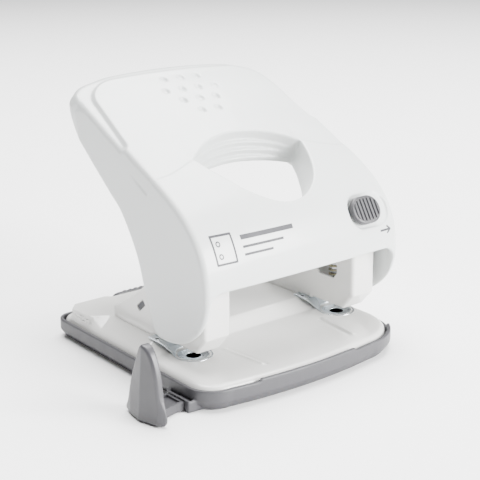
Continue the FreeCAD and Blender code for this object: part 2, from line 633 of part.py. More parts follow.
def handle_cover():
    envelope = cover_envelope()
    shell = envelope.cut(cover_cavity()).cut(front_opening())
    inside = [part.common(envelope) for part in [hole_skirt()] + cover_bosses()]
    keep_out = turned(box((-60, 60), (-60, 60), (-60, PALM_PLATE_T)), PALM_SLOPE, PALM_Y, PALM_Z)
    inside += [rib.common(envelope).cut(keep_out) for rib in cover_ribs()]
    shell = shell.multiFuse(inside)
    for cutter in hole_cutters() + lock_window():
        shell = shell.cut(cutter)
    for x, v in SCREW_SPOTS:
        pilot = turned(rod(V(x, v, 0), Z_AXIS, 1.27, 5.6), PALM_SLOPE, PALM_Y, PALM_Z)
        shell = shell.cut(pilot)
    return shell


# ---- lock -------------------------------------------------------------------------------------
def lock_knob():
    """Thumb slide: rounded cap with ribs across its travel, and a stem through the cover."""
    cap = oval(KNOB_W, KNOB_H, -0.8, 1.9)
    ribs = [box((x - 0.45, x + 0.45), (-4.3, 4.3), (1.5, 2.5)) for x in [1.95 * k for k in range(-3, 4)]]
    stem = box((-2.6, 2.6), (-2.0, 2.0), (-BOLT_DEPTH, -0.8))
    knob = fused([cap, stem] + ribs)
    return turned(knob, LOCK_SLOPE, LOCK_Y, LOCK_Z, LOCK_X)


def lock_bolt():
    """Steel bolt on the knob's stem, with a nose that reaches down beside the right channel."""
    plate = box((-7.7, 6.3), (-4.2, 4.2), (-BOLT_DEPTH - 1.0, -BOLT_DEPTH))
    plate = turned(plate, LOCK_SLOPE, LOCK_Y, LOCK_Z, LOCK_X)
    hook = [(-19.2, 58.4), (-17.4, 61.4), (-15.0, 60.4), (-14.6, 53.6), (-16.9, 53.6)]
    nose = side_plate(hook, 27.0, 31.8)
    return fused([plate, nose])


# ---- output -----------------------------------------------------------------------------------
def build():
    parts = {
        "chip_tray": chip_tray(),
        "guide_fin": guide_fin(),
        "guide_foot": guide_foot(),
        "guide_rail": guide_rail(),
        "base_plate": base_plate(),
        "foot_rivets": foot_rivets(),
        "die_screws": die_screws(),
        "pivot_axle": pivot_axle(),
        "axle_clips": axle_clips(),
        "lock_catch": lock_catch(),
        "palm_plate": palm_plate(),
        "cover_screws": cover_screws(),
        "handle_cover": handle_cover(),
        "lock_knob": lock_knob(),
        "lock_bolt": lock_bolt(),
    }
    makers = {
        "bracket": bracket, "brace": brace, "die_plate": die_plate, "pin_guide": pin_guide,
        "punch_pin": punch_pin, "spring_collar": spring_collar, "return_spring": return_spring,
        "lever": lever, "press_roller": press_roller,
    }
    for name, make in makers.items():
        parts["left_" + name] = make(-1)
        parts["right_" + name] = make(1)
    return parts


def main():
    os.makedirs("parts", exist_ok=True)
    for name, shape in build().items():
        solids = shape.Solids
        print(f"{name:22s} solids {len(solids)} valid {shape.isValid()} volume {shape.Volume:10.1f}")
        shape.exportStep(os.path.join("parts", name + ".step"))


main()
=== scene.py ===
"""Hole punch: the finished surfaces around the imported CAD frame.

Moulded and pressed pieces are modelled as distance fields (millimetres, negative inside) and meshed with
surface nets, so that every edge carries a real radius. Blender objects are in metres.
"""

import json
import math

import bpy
import numpy as np
from mathutils import Matrix, Vector


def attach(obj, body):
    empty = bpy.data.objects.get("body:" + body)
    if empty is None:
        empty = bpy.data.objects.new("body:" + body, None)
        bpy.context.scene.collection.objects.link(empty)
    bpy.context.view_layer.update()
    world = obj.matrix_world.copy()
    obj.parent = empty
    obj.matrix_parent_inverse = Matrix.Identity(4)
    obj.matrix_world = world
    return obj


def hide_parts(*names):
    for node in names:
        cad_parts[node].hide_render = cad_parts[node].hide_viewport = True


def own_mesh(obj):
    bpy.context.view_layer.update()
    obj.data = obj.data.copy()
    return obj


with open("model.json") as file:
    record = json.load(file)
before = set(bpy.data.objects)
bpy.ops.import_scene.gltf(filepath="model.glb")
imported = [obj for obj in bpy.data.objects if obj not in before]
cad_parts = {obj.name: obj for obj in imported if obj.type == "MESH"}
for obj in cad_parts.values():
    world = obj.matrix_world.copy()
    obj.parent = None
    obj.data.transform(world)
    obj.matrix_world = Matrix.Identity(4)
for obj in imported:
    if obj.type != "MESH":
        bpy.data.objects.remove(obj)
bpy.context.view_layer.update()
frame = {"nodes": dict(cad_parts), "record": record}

MM = 0.001

# ---- the cover, mm ------------------------------------------------------------------------------
COVER_HALF_W = 52.0
COVER_T = 2.5
COVER_EDGE_R = 2.2
COVER_CORNER_R = 11.0          # rear corners in plan
COVER_STEP = 0.5               # lattice spacing
FRONT_LIP_Z = 43.3
FRONT_OPENING_END = 20.0
CURVE_STEPS = 10               # points along each span of a curved outline

# Flank outline in (y, z): up the front and over the top, round the nose, then the underside and lower lobe.
TOP_EDGE = [(-24.6, 43.5), (-23.9, 49.5), (-22.0, 56.0), (-17.6, 63.6), (-10.5, 70.9), (-0.5, 77.5),
            (10.0, 82.9), (23.5, 89.4), (37.5, 96.2), (46.8, 100.9), (56.0, 105.4)]
NOSE = [(63.4, 108.6), (69.2, 110.8), (73.2, 109.9), (75.3, 106.8), (75.3, 103.0), (73.4, 98.7), (69.8, 94.8)]
UNDERSIDE = [(63.5, 89.2), (51.5, 79.2), (40.0, 70.0), (33.0, 64.4), (26.0, 54.8), (21.3, 46.0),
             (18.0, 36.1), (15.2, 29.0), (12.9, 22.8), (11.0, 18.9), (7.4, 16.9)]
LOBE = [(0.0, 17.1), (-6.0, 18.4), (-12.0, 21.2), (-17.6, 25.6), (-21.8, 31.0), (-24.2, 37.4)]
CROWN = [1.0, 1.3, 1.8, 2.3, 2.7, 3.0, 3.0, 3.0, 2.9, 2.9, 3.1, 3.3, 3.6, 3.3, 2.2, 1.2, 0.6, 0.3]
PULL_DIR = (0.871, 0.491)      # the palm end's direction in (y, z)
PULL_FROM = 98.0               # along it, where the corners start to draw in
PULL_FULL = 112.0

PANEL_HALF_W = 45.6            # raised palm panel: half width at y = 60, growing towards the hole
PANEL_LEAN = 0.107
PANEL_END = 112.6              # its rear edge along PULL_DIR
PANEL_R = 13.0
PANEL_DROP = 1.7
PANEL_HALF_L = 60.0
PANEL_FRONT = (27.0, 31.0)     # y over which its step fades in
PANEL_MIDDLE = (45.0, 99.0)
PANEL_SLOPE = 26.0

HOLE_AT = (5.0, 80.0)          # finger hole: (y, z), slope of its plane, and its outline in that plane
HOLE_SLOPE = 29.2
HOLE_TIP = (28.5, 9.7)
HOLE_TOP = 21.8
HOLE_LOWER = [(25.2, 0.6), (18.6, -11.4), (9.6, -19.4), (0.0, -22.0)]
TERRACES = 4
TERRACE_DEPTH = 2.9
TERRACE_STEP = 1.75
HOLE_SKIRT = 1.8

# Grip dimples on the palm end: y of each row and x of its dimples.
DIMPLES = [(60.1, (-8.8, 0.0, 8.8)), (52.4, (-13.2, -4.4, 4.4, 13.2)), (45.7, (-8.8, 0.0, 8.8)),
           (38.4, (-4.4, 4.4))]

LOCK_AT = (34.7, -20.6, 61.0)
LOCK_SLOPE = 59.3
LOCK_TRAVEL = 5.0
LOCK_DISH = (11.3, 7.2, 6.6)   # half width, half height and corner radius of the recess
LOCK_SLOT = (7.0, 2.7, 2.6)
LOCK_DISH_DEPTH = 1.6

PALM_AT = (44.0, 57.4 + 47.0 * 39.2 / 55.0)
PALM_SLOPE = math.degrees(math.atan2(39.2, 55.0))
PALM_PLATE_T = 1.5
POST_XS = (-26, 26)            # screw posts under the palm end
POST_VS = (-4.5, 4.5)
PALM_RIB_XS = (-14, 0, 14)

# ---- the rest, mm -------------------------------------------------------------------------------
TRAY_LEFT = -60.3
TRAY_RIGHT = 52.3
TRAY_FRONT = -38.6             # bowed: the middle stands proud of the corners
TRAY_FRONT_LEFT = -34.8
TRAY_FRONT_RIGHT = -36.6
TRAY_REAR = 76.2
TRAY_R_LEFT = 13.0
TRAY_R_RIGHT = 26.0
TRAY_R_REAR = 7.0
TRAY_TOP = 8.8
TRAY_WALL = 1.6
TRAY_FLOOR = 1.4
TRAY_FACET = 2.8
TRAY_FACET_Z = 3.8
LEDGE_Z = 5.5
RIM_END_Y = -24.7              # the rim's right side is lower behind this
RIM_LOW_Z = 6.6

PLATE_GAP = 1.0
PLATE_T = 1.2
PLATE_TOP = 9.6
PLATEAU_TOP = 13.6
PLATEAU_LOW = [(49.6, 7.5), (49.6, 67), (45.5, 73.4), (-51.5, 73.4), (-57.6, 67), (-57.6, 7.5)]
PLATEAU_HIGH = [(47.2, 15.3), (47.2, 51), (47.6, 55), (47.9, 67.5), (44.5, 73.1), (-51.0, 73.1),
                (-56.0, 67.5), (-54.8, 54), (-47.2, 50), (-47.2, 15.3)]

HEAD_X = 40.0                  # the punch heads stand this far either side of the middle

SPRING_Z = (23.5, 41.0)        # foot and head of the return springs at rest
SPRING_R = 3.5
SPRING_WIRE_R = 0.4
SPRING_TURNS = 8.5

DIE_TOP = 9.8
DIE_RISE = 4.6                 # the strip climbs the ramp in one smooth bend
DIE_T = 1.0
DIE_R = 8.0
DIE_BORE_R = 3.05
DIE_TONGUE_HALF_W = 6.6
DIE_FLARE = 3.2                # the tongue's half width grows by this under the bracket
DIE_REAR = 18.0
DIE_SCREW_AT = (8.4, 13.4)
DIE_SCREW_R = 0.8

BASE_FOOT_Z = 5.8
BASE_EDGE_R = 2.6
BASE_NOTCH = [(-38, 78), (-36, 71.6), (-33.4, 69.4), (33.4, 69.4), (36, 71.6), (38, 78)]
PIN_OPENING_R = 5.2
RIB_AT = (24.9, -25.6)         # front end of the rib beside a die, and its run to the rear
RIB_RUN = (2.5, 21.1)
RIB_GROOVE_X = 23.1

BRACKET_HALF_W = 6.65
SHEET = 1.2
PIVOT_AT = (-12.7, 46.0)
AXLE_HOLE_R = 2.02
PIN_HOLE_R = 3.2
FOOT_TOP_Z = 18.0              # holes in the foot reach up to here
RIVET_YS = (26.0, 40.0)
RIVET_HOLE_R = 1.6
BRACKET_FRONT_Y = -16.25
BRACKET_BEND_Z = 21.5          # below this the front sheet slopes back by BRACKET_SLOPE in (y, z)
BRACKET_SLOPE = (6.15, 7.1)
BRACKET_BOTTOM = 14.4
BRACKET_WALL = [(-10.1, 14.4), (-16.25, 21.5), (-16.25, 41.0), (-18.2, 43.6), (-18.7, 46.0), (-18.2, 48.8),
                (-17.0, 51.0), (-15.0, 52.0), (-2.0, 52.0), (6.0, 49.6), (15.0, 42.4), (22.0, 35.8),
                (28.8, 30.0), (32.9, 27.3), (41.3, 22.2), (48.0, 18.2), (48.0, 13.6), (18.4, 13.6),
                (18.4, 14.4)]
BRACKET_FRONT = [(-16.25, 41), (-16.25, 21.5), (-10.1, 14.4), (10, 14.4), (10, 15.5), (-9.6, 15.5),
                 (-15.05, 22.0), (-15.05, 41)]
BRACE_SLOT = [(30.28, 23.42), (25.90, 27.22), (24.12, 25.18), (28.50, 21.38)]
BRACKET_WINDOW = [(-4.4, 27.2), (4.7, 27.2), (6.6, 29.2), (6.6, 38), (-6.3, 38), (-6.3, 29.6)]

FIN_INNER_X = -75.5
FIN_SIDE = [(-30.2, 0.4), (-9.8, 0.4), (-10.8, 7), (-13.4, 15.5), (-16.2, 23), (-17.8, 27.4), (-19.2, 29.8),
            (-21.2, 30.4), (-23.6, 29.2), (-25.8, 26.2), (-27.8, 21), (-29.3, 12)]
FIN_SWELL = [(-30.9, 1.4), (-27.5, 4.4), (-21.5, 5.7), (-15.0, 5.0), (-9.8, 3.4)]
FIN_HEIGHT = 31.0
HOUSING_X = -62.6
GUIDE_Y = -21.0                # middle of the guide's rail and of its slot in the tray

KNOB_HALF = (7.8, 6.0)
KNOB_RIB_HALF = (6.9, 4.9)
KNOB_RIB_PITCH = 1.95


# ---- distance fields ----------------------------------------------------------------------------
def cut_round(solid, hole, r):
    """Solid minus hole, with an edge radius."""
    a, b = solid, -hole
    return np.minimum(-r, np.maximum(a, b)) + np.hypot(np.maximum(a + r, 0), np.maximum(b + r, 0))


def meet_round(a, b, r):
    """What two solids share, with an edge radius."""
    return cut_round(a, -b, r)


def join_round(a, b, r):
    """Two solids as one, with a fillet between them."""
    return np.maximum(r, np.minimum(a, b)) - np.hypot(np.maximum(r - a, 0), np.maximum(r - b, 0))


def smooth(lo, hi, value):
    """Eased step from 0 at lo to 1 at hi."""
    t = np.clip((value - lo) / (hi - lo), 0, 1)
    return t * t * (3 - 2 * t)


def curve_through(points, per=CURVE_STEPS, closed=False):
    """Catmull-Rom curve through 2-D points."""
    p = np.array(points, float)
    if closed:
        p = np.vstack([p[-1], p, p[0], p[1]])
    else:
        p = np.vstack([2 * p[0] - p[1], p, 2 * p[-1] - p[-2]])
    t = np.linspace(0, 1, per, endpoint=False)[:, None]
    out = []
    for a, b, c, d in zip(p, p[1:], p[2:], p[3:]):
        out.append(0.5 * (2 * b + (c - a) * t + (2 * a - 5 * b + 4 * c - d) * t ** 2
                          + (3 * b - a - 3 * c + d) * t ** 3))
    if not closed:
        out.append(p[-2][None])
    return np.vstack(out)


def outline_field(points, us, vs):
    """Signed distance to a closed outline over a 2-D lattice, and the nearest place along it."""
    u, v = np.meshgrid(us, vs, indexing="ij")
    best = np.full(u.shape, 1e9)
    along = np.zeros(u.shape)
    inside = np.zeros(u.shape, bool)
    for i, (a, b) in enumerate(zip(points, np.roll(points, -1, 0))):
        run = b - a
        t = np.clip(((u - a[0]) * run[0] + (v - a[1]) * run[1]) / (run @ run + 1e-12), 0, 1)
        d = (u - a[0] - run[0] * t) ** 2 + (v - a[1] - run[1] * t) ** 2
        near = d < best
        best = np.where(near, d, best)
        along = np.where(near, i + t, along)
        if a[1] != b[1]:
            inside ^= ((a[1] > v) != (b[1] > v)) & (u < run[0] * (v - a[1]) / run[1] + a[0])
    return np.where(inside, -1, 1) * np.sqrt(best), along


def look_up(table, us, vs, u, v):
    """Bilinear value of a 2-D table at scattered places."""
    step = us[1] - us[0]
    fu = np.clip((u - us[0]) / step, 0, len(us) - 1.001)
    fv = np.clip((v - vs[0]) / step, 0, len(vs) - 1.001)
    i, j = fu.astype(int), fv.astype(int)
    a, b = fu - i, fv - j
    return ((table[i, j] * (1 - b) + table[i, j + 1] * b) * (1 - a)
            + (table[i + 1, j] * (1 - b) + table[i + 1, j + 1] * b) * a)


def local(y, z, at, slope):
    """Coordinates up the slope and outwards from it, in a plane tilted about X."""
    c, s = math.cos(math.radians(slope)), math.sin(math.radians(slope))
    return (y - at[0]) * c + (z - at[1]) * s, (z - at[1]) * c - (y - at[0]) * s


def pill(u, v, half_w, half_h, r):
    """Rounded rectangle about the origin."""
    du, dv = np.abs(u) - half_w + r, np.abs(v) - half_h + r
    return np.minimum(np.maximum(du, dv), 0) + np.hypot(np.maximum(du, 0), np.maximum(dv, 0)) - r


def surface_nets(field, axes):
    """Vertices and quads around the field's zero."""
    lo = np.array([a[0] for a in axes])
    step = axes[0][1] - axes[0][0]
    inside = field < 0
    corners = [np.array(c) for c in np.ndindex(2, 2, 2)]
    n = np.array(field.shape) - 1
    count = np.zeros(n, np.int8)
    for c in corners:
        count += inside[c[0]:n[0] + c[0], c[1]:n[1] + c[1], c[2]:n[2] + c[2]]
    cells = np.argwhere((count > 0) & (count < 8))
    index = np.full(n, -1, np.int64)
    index[tuple(cells.T)] = np.arange(len(cells))
    total = np.zeros((len(cells), 3))
    crossings = np.zeros(len(cells))
    for c in corners:
        for axis in range(3):
            if c[axis]:
                continue
            d = c + np.eye(3, dtype=int)[axis]
            a, b = field[tuple((cells + c).T)], field[tuple((cells + d).T)]
            cross = (a < 0) != (b < 0)
            t = np.where(cross, a / np.where(cross, a - b, 1), 0)
            total += cross[:, None] * (c + t[:, None] * (d - c))
            crossings += cross
    verts = lo + step * (cells + total / crossings[:, None])
    quads = []
    for axis in range(3):
        e = np.eye(3, dtype=int)[axis]
        e1, e2 = np.eye(3, dtype=int)[(axis + 1) % 3], np.eye(3, dtype=int)[(axis + 2) % 3]
        here = inside[tuple(slice(0, s - k) for s, k in zip(field.shape, e))]
        there = inside[tuple(slice(k, s) for s, k in zip(field.shape, e))]
        at = np.argwhere(here != there)
        at = at[(at[:, (axis + 1) % 3] > 0) & (at[:, (axis + 2) % 3] > 0)]
        at = at[(at[:, (axis + 1) % 3] < n[(axis + 1) % 3]) & (at[:, (axis + 2) % 3] < n[(axis + 2) % 3])]
        ring = np.stack([index[tuple((at - k).T)] for k in (e1 * 0, e1, e1 + e2, e2)], 1)
        out = here[tuple(at.T)]
        quads.append(np.where(out[:, None], ring, ring[:, ::-1]))
    return verts, np.vstack(quads)


def mesh_object(name, verts_mm, faces, material, body, rounded=True):
    """New piece from millimetre vertices, on one of the frame's bodies."""
    mesh = bpy.data.meshes.new(name)
    mesh.from_pydata((np.asarray(verts_mm, float) * MM).tolist(), [], [list(map(int, f)) for f in faces])
    mesh.validate()
    if rounded:
        mesh.shade_smooth()
    mesh.materials.append(material)
    piece = bpy.data.objects.new(name, mesh)
    bpy.context.scene.collection.objects.link(piece)
    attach(piece, body)
    return piece


def lattice(lo, hi, step):
    """The three axes of a sampling grid over a box."""
    return [np.arange(a, b + step, step) for a, b in zip(lo, hi)]


# ---- cover --------------------------------------------------------------------------------------
def cover_outline():
    """The flank's side outline, and the index where its top surface ends."""
    over = curve_through(TOP_EDGE + NOSE)
    under = curve_through(NOSE[-1:] + UNDERSIDE + LOBE + TOP_EDGE[:1])
    return np.vstack([over, under[1:-1]]), len(over) - 1


def cavity_outline(over):
    """The skin's inner side, closed by an open region below and behind the flanks."""
    run = np.gradient(over, axis=0)
    normal = np.stack([-run[:, 1], run[:, 0]], 1) / np.linalg.norm(run, axis=1)[:, None]
    inner = (over - COVER_T * normal)[:-8]
    return np.vstack([inner, [(64.0, 86.0), (40.0, 60.0), (40.0, -5.0), (inner[0][0], -5.0)]])


def pull_back(x, y, z):
    """Where a point comes from before the rear corners are drawn in."""
    over = max(0.0, abs(x) - (COVER_HALF_W - COVER_CORNER_R))
    pull = COVER_CORNER_R - math.sqrt(max(COVER_CORNER_R ** 2 - over ** 2, 0))
    s = PULL_DIR[0] * y + PULL_DIR[1] * z
    span = PULL_FULL - PULL_FROM
    drawn = np.where(s > PULL_FULL - pull, pull, np.maximum(s - PULL_FROM, 0) * pull / (span - pull))
    return y + PULL_DIR[0] * drawn, z + PULL_DIR[1] * drawn


def terrace_shift(w):
    """How far the hole's upper edge has stepped in at height w below the surface."""
    return sum(TERRACE_STEP * smooth(0.35, -0.35, w + TERRACE_DEPTH * k) for k in range(1, TERRACES))


def hole_field(x, v, w, table):
    """Finger hole: an arc above, stepping inwards as it goes down, and a scoop below."""
    us, vs, lower = table
    rise = HOLE_TOP - HOLE_TIP[1]
    radius = (HOLE_TIP[0] ** 2 + rise ** 2) / (2 * rise)
    share = np.clip(1 - (np.abs(x) / HOLE_TIP[0]) ** 2.5, 0, 1)
    centre = HOLE_TOP - radius - terrace_shift(w) * share
    below = look_up(lower, us, vs, np.broadcast_to(x, v.shape), v)
    return meet_round(np.hypot(x, v - centre) - radius, below, 0.5)


def hole_table():
    """The hole's lower scoop as a distance table in the hole's plane."""
    us = np.arange(-36, 36.5, 0.5)
    vs = np.arange(-34, 44.5, 0.5)
    half = np.array([HOLE_TIP] + HOLE_LOWER)
    scoop = curve_through(np.vstack([half, half[-2::-1] * [-1, 1]]))
    points = np.vstack([[(46.0, 60.0), (46.0, 24.0)], scoop, [(-46.0, 24.0), (-46.0, 60.0)]])
    return us, vs, outline_field(points, us, vs)[0]


def panel_drop(x, y, z):
    """How far the cover lies below the raised palm panel, down its sides and round its rear corners."""
    s = PULL_DIR[0] * y + PULL_DIR[1] * z
    upper = smooth(-2.0, 2.0, local(y, z, PANEL_MIDDLE, PANEL_SLOPE)[1] + 6.0)
    width_at = np.abs(x) + PANEL_LEAN * (y - 60.0)
    beyond = pill(width_at, s - PANEL_END + PANEL_HALF_L, PANEL_HALF_W, PANEL_HALF_L, PANEL_R)
    side = smooth(30.0, 44.0, np.abs(x))
    return PANEL_DROP * (0.3 + 0.7 * side) * smooth(-0.2, 1.7, beyond) * smooth(*PANEL_FRONT, y) * upper


def cover_field(axes):
    """The cover's shell and its solid envelope."""
    xs, ys, zs = axes
    y2, z2 = np.meshgrid(ys, zs, indexing="ij")
    pad = 18
    ly, lz = np.arange(ys[0], ys[-1] + pad, 0.5), np.arange(zs[0], zs[-1] + pad, 0.5)
    outline, skin_end = cover_outline()
    outer, along = outline_field(outline, ly, lz)
    places = np.append(np.arange(len(CROWN)) * CURVE_STEPS, [skin_end + 12, len(outline) - 12, len(outline)])
    crown = np.interp(along, places, CROWN + [0.0, 0.0, CROWN[0]])
    inner = outline_field(cavity_outline(outline[:skin_end + 1]), ly, lz)[0]
    env = np.empty([len(a) for a in axes], np.float32)
    cavity = np.empty_like(env)
    for i, x in enumerate(xs):
        y, z = pull_back(x, y2, z2)
        share = 1 - (x / COVER_HALF_W) ** 2
        rise = look_up(crown, ly, lz, y, z) * share
        env[i] = look_up(outer, ly, lz, y, z) - rise
        cavity[i] = look_up(inner, ly, lz, y, z) - rise
    x3 = xs[:, None, None]
    env = meet_round(env + panel_drop(x3, y2, z2), np.abs(x3) - COVER_HALF_W, COVER_EDGE_R)
    cavity = meet_round(cavity, np.abs(x3) - (COVER_HALF_W - COVER_T), 1.6)
    shell = cut_round(env, cavity, 0.7)
    opening = meet_round(np.abs(x3) - (COVER_HALF_W - COVER_T), z2 - FRONT_LIP_Z, 6.0)
    opening = np.maximum(opening, y2 - FRONT_OPENING_END)
    shell = cut_round(shell, opening, 0.9)
    return shell, env


def window(axes, lo, hi):
    """Slices of the lattice that cover a box, and the coordinates inside it."""
    part = tuple(slice(max(0, np.searchsorted(a, p) - 1), np.searchsorted(a, q) + 1)
                 for a, p, q in zip(axes, lo, hi))
    return (part, *np.meshgrid(*[a[p] for a, p in zip(axes, part)], indexing="ij"))


def surface_height(env, axes, x, y):
    """Height of the cover's top at a place in plan."""
    column = env[int(round((x - axes[0][0]) / COVER_STEP)), int(round((y - axes[1][0]) / COVER_STEP))]
    k = int(np.nonzero(column < 0)[0][-1])
    return axes[2][k] + COVER_STEP * column[k] / (column[k] - column[k + 1])


def front_depth(env, axes, x, z):
    """y of the cover's front at a place in (x, z)."""
    fx, fz = (x - axes[0][0]) / COVER_STEP, (z - axes[2][0]) / COVER_STEP
    i, k = int(fx), int(fz)
    a, b = fx - i, fz - k
    row = ((env[i, :, k] * (1 - b) + env[i, :, k + 1] * b) * (1 - a)
           + (env[i + 1, :, k] * (1 - b) + env[i + 1, :, k + 1] * b) * a)
    j = int(np.nonzero(row < 0)[0][0]) - 1
    return axes[1][j] + COVER_STEP * row[j] / (row[j] - row[j + 1])


def carve_hole(shell, env, axes):
    """Finger hole with its terraces, and the skirt below it."""
    table = hole_table()
    part, x, y, z = window(axes, (-34, -26, 50), (34, 36, 112))
    v, w = local(y, z, HOLE_AT, HOLE_SLOPE)
    hole = hole_field(x, v, w, table)
    depth = TERRACES * TERRACE_DEPTH
    skirt = np.maximum(hole_field(x, v, w * 0 + 1.0, table) - HOLE_SKIRT, -w - depth)
    skirt = meet_round(skirt, env[part] + 0.6, 0.5)
    joined = join_round(shell[part], skirt, 0.8)
    shell[part] = cut_round(joined, hole, 0.9)


def carve_crease(shell, axes):
    """Crease from each tip of the hole out to the flank, with the front panel a little proud of it."""
    part, x, y, z = window(axes, (-52, -20, 60), (52, 40, 112))
    v, w = local(y, z, HOLE_AT, HOLE_SLOPE)
    line = HOLE_TIP[1] - 5.2 * smooth(HOLE_TIP[0], 47, np.abs(x)) ** 0.75
    outside = smooth(HOLE_TIP[0] - 3.0, HOLE_TIP[0] + 1.0, np.abs(x)) * (w > -8)
    behind = v - line
    drop = 0.34 * smooth(-0.5, 0.5, behind) * (1 - smooth(2, 16, behind)) * outside
    shell[part] += drop.astype(np.float32)


def carve_lock(shell, axes):
    """Recess for the thumb slide, and the slot for its stem."""
    part, x, y, z = window(axes, (16, -34, 46), (52, -2, 76))
    v, w = local(y, z, LOCK_AT[1:], LOCK_SLOPE)
    x = x - LOCK_AT[0]
    dish = np.maximum(pill(x - LOCK_TRAVEL / 2, v, *LOCK_DISH), -(w + LOCK_DISH_DEPTH))
    shell[part] = cut_round(shell[part], dish, 0.8)
    slot = np.maximum(pill(x - LOCK_TRAVEL / 2, v, *LOCK_SLOT), np.abs(w + 3) - 6)
    shell[part] = cut_round(shell[part], slot, 0.3)


def carve_dimples(shell, env, axes):
    """Grip dimples in the palm end."""
    for y0, xs in DIMPLES:
        for x0 in xs:
            top = surface_height(env, axes, x0, y0)
            part, x, y, z = window(axes, (x0 - 4, y0 - 4, top - 5), (x0 + 4, y0 + 4, top + 3))
            dent = np.sqrt((x - x0) ** 2 + (y - y0) ** 2 + (z - top - 0.7) ** 2) - 1.95
            shell[part] = cut_round(shell[part], dent, 0.3)


def add_posts(shell, env, axes):
    """Screw posts and ribs between the palm plate and the cover."""
    part, x, y, z = window(axes, (-34, 28, 70), (34, 68, 112))
    v, w = local(y, z, PALM_AT, PALM_SLOPE)
    posts = [np.hypot(x - a, v - b) - 3.0 for a in POST_XS for b in POST_VS]
    ribs = [np.maximum(np.abs(x - a) - 0.8, 30.0 - y) for a in PALM_RIB_XS]
    inside = np.maximum(np.minimum.reduce(posts + ribs), PALM_PLATE_T + 0.05 - w)
    inside = np.maximum(inside, np.maximum(env[part] + 1.0, y - 64))
    inside = np.maximum(inside, 0.9 * (78 + (y - 30) * 18 / 34 - z))
    screws = np.minimum.reduce([np.hypot(x - a, v - b) - 1.3 for a in POST_XS for b in POST_VS])
    inside = np.maximum(inside, -np.maximum(screws, w - 5.7))
    shell[part] = join_round(shell[part], inside, 0.5)


def make_cover():
    """Moulded cover, and the marks printed on it."""
    axes = lattice((-53.0, -26.5, 15.5), (53.0, 79.0, 116.5), COVER_STEP)
    shell, env = cover_field(axes)
    carve_hole(shell, env, axes)
    carve_crease(shell, axes)
    carve_lock(shell, axes)
    carve_dimples(shell, env, axes)
    add_posts(shell, env, axes)
    piece = mesh_object("cover_shell", *surface_nets(shell, axes), materials["cover_white"], "handle")
    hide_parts("handle_cover")
    make_prints(env, axes)


def ribbon(path, width):
    """Centre line in (x, z) widened to quads: two rows of points."""
    p = np.array(path, float)
    run = np.gradient(p, axis=0)
    side = np.stack([-run[:, 1], run[:, 0]], 1) / np.linalg.norm(run, axis=1)[:, None] * width / 2
    return p + side, p - side


def print_marks():
    """Paths in (x, z) and their widths: a holed sheet with rules beside it, and the lock's arrow."""
    turn = np.linspace(0, 2 * math.pi, 25)
    marks = [(np.linspace((-45.3, z), (-35.7, z), 12), 0.8) for z in (64.2, 54.2)]
    marks += [(np.linspace((x, 54.0), (x, 64.4), 12), 0.8) for x in (-45.0, -36.0)]
    marks += [(np.stack([-42.6 + 0.8 * np.cos(turn), z + 0.8 * np.sin(turn)], 1), 0.5) for z in (61.4, 57.0)]
    rules = ((62.2, -6.0, 1.7), (58.8, -12.0, 0.9), (56.0, -18.0, 0.9))
    marks += [(np.linspace((-32.0, z), (x, z), 30), width) for z, x, width in rules]
    marks += [(np.linspace((41.4, 51.5), (47.2, 51.5), 10), 0.9),
              (np.linspace((45.4, 53.1), (47.6, 51.3), 6), 0.8),
              (np.linspace((45.4, 49.9), (47.6, 51.7), 6), 0.8)]
    return marks


def make_prints(env, axes):
    """Plain printed marks, laid just proud of the cover's front."""
    verts, faces = [], []
    for path, width in print_marks():
        first = len(verts)
        for a, b in zip(*ribbon(path, width)):
            for x, z in (a, b):
                verts.append((x, front_depth(env, axes, x, z) - 0.04, z))
        faces += [(k, k + 2, k + 3, k + 1) for k in range(first, len(verts) - 3, 2)]
    mesh_object("front_prints", verts, faces, materials["print_grey"], "handle", False)


# ---- tray and base ------------------------------------------------------------------------------
def arc(cx, cy, r, start, count=16):
    """Quarter circle from a start angle in degrees."""
    a = np.radians(np.linspace(start, start + 90, count))
    return np.stack([cx + r * np.cos(a), cy + r * np.sin(a)], 1)


def tray_points():
    """The tray's plan outline: bowed front, straight sides, rounded corners."""
    x0, x1 = TRAY_LEFT + TRAY_R_LEFT, TRAY_RIGHT - TRAY_R_RIGHT
    t = np.linspace(0, 1, 60)
    bow = np.stack([x0 + (x1 - x0) * t,
                    TRAY_FRONT_LEFT * (2 * t - 1) * (t - 1) + TRAY_FRONT * 4 * t * (1 - t)
                    + TRAY_FRONT_RIGHT * t * (2 * t - 1)], 1)
    q = TRAY_R_REAR
    return np.vstack([bow, arc(x1, TRAY_FRONT_RIGHT + TRAY_R_RIGHT, TRAY_R_RIGHT, -90),
                      arc(TRAY_RIGHT - q, TRAY_REAR - q, q, 0), arc(TRAY_LEFT + q, TRAY_REAR - q, q, 90),
                      arc(x0, TRAY_FRONT_LEFT + TRAY_R_LEFT, TRAY_R_LEFT, 180)])


def rim_height(x, y):
    """Top of the tray's wall: a raised lip at the front, and a low stretch on the right."""
    lip = smooth(-36.0, -34.0, x) * smooth(16.0, 14.0, x) * smooth(-20.0, -22.0, y)
    low = smooth(42.8, 43.4, x) * smooth(RIM_END_Y - 0.3, RIM_END_Y + 0.3, y) * smooth(67.5, 67.0, y)
    return TRAY_TOP + lip - (TRAY_TOP - RIM_LOW_Z) * low


def tab_field(x, section, z):
    """Finger tab with grip ribs, from its side section."""
    ends = np.maximum(np.abs(x) - 32.0, (np.abs(x) - 34.0 + 1.6 * (z - 9.0)) * 0.53)
    body = meet_round(section, ends, 0.5)
    ribs = np.maximum(np.abs((x + 1.5) % 3.0 - 1.5) - 0.4, np.abs(x) - 25.0)
    return join_round(body, np.maximum(np.maximum(section - 0.35, ends), ribs), 0.25)


